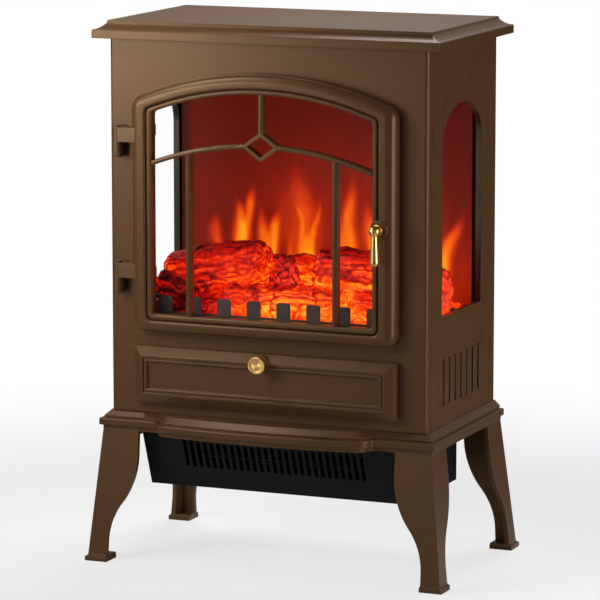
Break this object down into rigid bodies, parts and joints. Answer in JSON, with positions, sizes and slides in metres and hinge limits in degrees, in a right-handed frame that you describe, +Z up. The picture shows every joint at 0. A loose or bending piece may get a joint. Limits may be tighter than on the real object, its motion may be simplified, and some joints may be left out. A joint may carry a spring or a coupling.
{
  "type": "electric fireplace stove",
  "caption": "Free-standing electric stove with an arched glazed door, side windows, drop-down control flap, log fire display and a fan heater under its plinth.",
  "frame": {"origin": "on the floor under the middle of the overall box", "axes": "+X to the right seen from the front, +Y to the rear, +Z up"},
  "size_m": [0.412, 0.2615, 0.585],
  "materials": {
    "bronze_sheet": "satin bronze powder coat",
    "bronze_moulding": "satin bronze paint on moulded plastic",
    "bronze_hinge": "satin bronze paint",
    "brass": "polished",
    "zinc_screw": "zinc plated",
    "spring_steel": "plain",
    "clear_glass": "polished, clear",
    "black_sheet": "matt black paint",
    "galvanised_sheet": "galvanised",
    "black_plastic": "matt",
    "gloss_black_plastic": "gloss",
    "flame_film": "translucent red film",
    "ember_resin": "translucent moulded resin, painted bark",
    "foil": "mirror foil",
    "motor_steel": "plain",
    "board": "solder mask",
    "light_chip": "phosphor",
    "element_sheath": "oxidised"
  },
  "bodies": {
    "stove": {"back_panel": "black_sheet", "blower_housing": "galvanised_sheet", "blower_motor": "motor_steel", "ceiling_sheet": "black_sheet", "control_tray": "black_plastic", "cord_gland": "black_plastic", "deck": "black_sheet", "dimmer_body": "black_plastic", "door_magnet": "black_plastic", "element_frame": "galvanised_sheet", "flame_screen": "flame_film", "flap_lugs": "black_plastic", "front_panel": "bronze_sheet", "grate": "black_sheet", "heater_cover": "black_sheet", "heating_rods": "element_sheath", "hinge_knuckles": "bronze_hinge", "hinge_pins": "bronze_hinge", "leg_front_left": "bronze_moulding", "leg_front_right": "bronze_moulding", "leg_rear_left": "bronze_moulding", "leg_rear_right": "bronze_moulding", "leg_screws": "zinc_screw", "light_boards": "board", "light_chips": "light_chip", "log_bed": "ember_resin", "panel_screws": "zinc_screw", "plinth": "bronze_moulding", "screen_rails": "black_plastic", "side_glass_clips": "spring_steel", "side_glass_left": "clear_glass", "side_glass_right": "clear_glass", "side_panel_left": "bronze_sheet", "side_panel_right": "bronze_sheet", "spindle_bearing": "galvanised_sheet", "spindle_motor": "motor_steel", "switch_bodies": "black_plastic", "thermal_cutout": "motor_steel", "thermostat_body": "black_plastic", "top_plate": "bronze_moulding"},
    "door": {"door_frame": "bronze_moulding", "door_tracery": "bronze_moulding", "door_glass": "clear_glass", "glass_clips": "spring_steel", "glass_clip_screws": "zinc_screw", "hinge_straps": "bronze_hinge", "door_keeper": "spring_steel"},
    "door_handle": {"drop_handle": "brass", "handle_screw": "zinc_screw"},
    "control_flap": {"control_flap": "bronze_moulding", "flap_pins": "spring_steel", "flap_knob": "brass", "knob_screw": "zinc_screw"},
    "thermostat_knob": {"thermostat_knob": "gloss_black_plastic"},
    "dimmer_knob": {"dimmer_knob": "gloss_black_plastic"},
    "flame_rocker": {"flame_rocker": "gloss_black_plastic"},
    "low_heat_rocker": {"low_heat_rocker": "gloss_black_plastic"},
    "high_heat_rocker": {"high_heat_rocker": "gloss_black_plastic"},
    "flame_spindle": {"flame_spindle": "foil"},
    "blower_wheel": {"blower_wheel": "motor_steel"}
  },
  "joints": [
    {"name": "door_swing", "type": "hinge", "parent": "stove", "child": "door", "pos_m": [-0.168, -0.10225, 0.384], "axis": [0, 0, -1], "range_deg": [0, 110]},
    {"name": "handle_swing", "type": "hinge", "parent": "door", "child": "door_handle", "pos_m": [0.1335, -0.12475, 0.38], "axis": [0, 1, 0], "range_deg": [-90, 90]},
    {"name": "flap_drop", "type": "hinge", "parent": "stove", "child": "control_flap", "pos_m": [0, -0.09775, 0.18105], "axis": [1, 0, 0], "range_deg": [0, 90]},
    {"name": "thermostat_turn", "type": "hinge", "parent": "stove", "child": "thermostat_knob", "pos_m": [-0.084, -0.07685, 0.20865], "axis": [0, 1, 0], "range_deg": [0, 270]},
    {"name": "dimmer_turn", "type": "hinge", "parent": "stove", "child": "dimmer_knob", "pos_m": [0.084, -0.07685, 0.20865], "axis": [0, 1, 0], "range_deg": [0, 270]},
    {"name": "flame_switch", "type": "hinge", "parent": "stove", "child": "flame_rocker", "pos_m": [-0.028, -0.07765, 0.20865], "axis": [1, 0, 0], "range_deg": [0, 16]},
    {"name": "low_heat_switch", "type": "hinge", "parent": "stove", "child": "low_heat_rocker", "pos_m": [0, -0.07765, 0.20865], "axis": [1, 0, 0], "range_deg": [0, 16]},
    {"name": "high_heat_switch", "type": "hinge", "parent": "stove", "child": "high_heat_rocker", "pos_m": [0.028, -0.07765, 0.20865], "axis": [1, 0, 0], "range_deg": [0, 16]},
    {"name": "spindle_spin", "type": "hinge", "parent": "stove", "child": "flame_spindle", "pos_m": [0, 0.0885, 0.285], "axis": [1, 0, 0], "continuous": true},
    {"name": "blower_spin", "type": "hinge", "parent": "stove", "child": "blower_wheel", "pos_m": [0, 0.0295, 0.118], "axis": [1, 0, 0], "continuous": true}
  ]
}
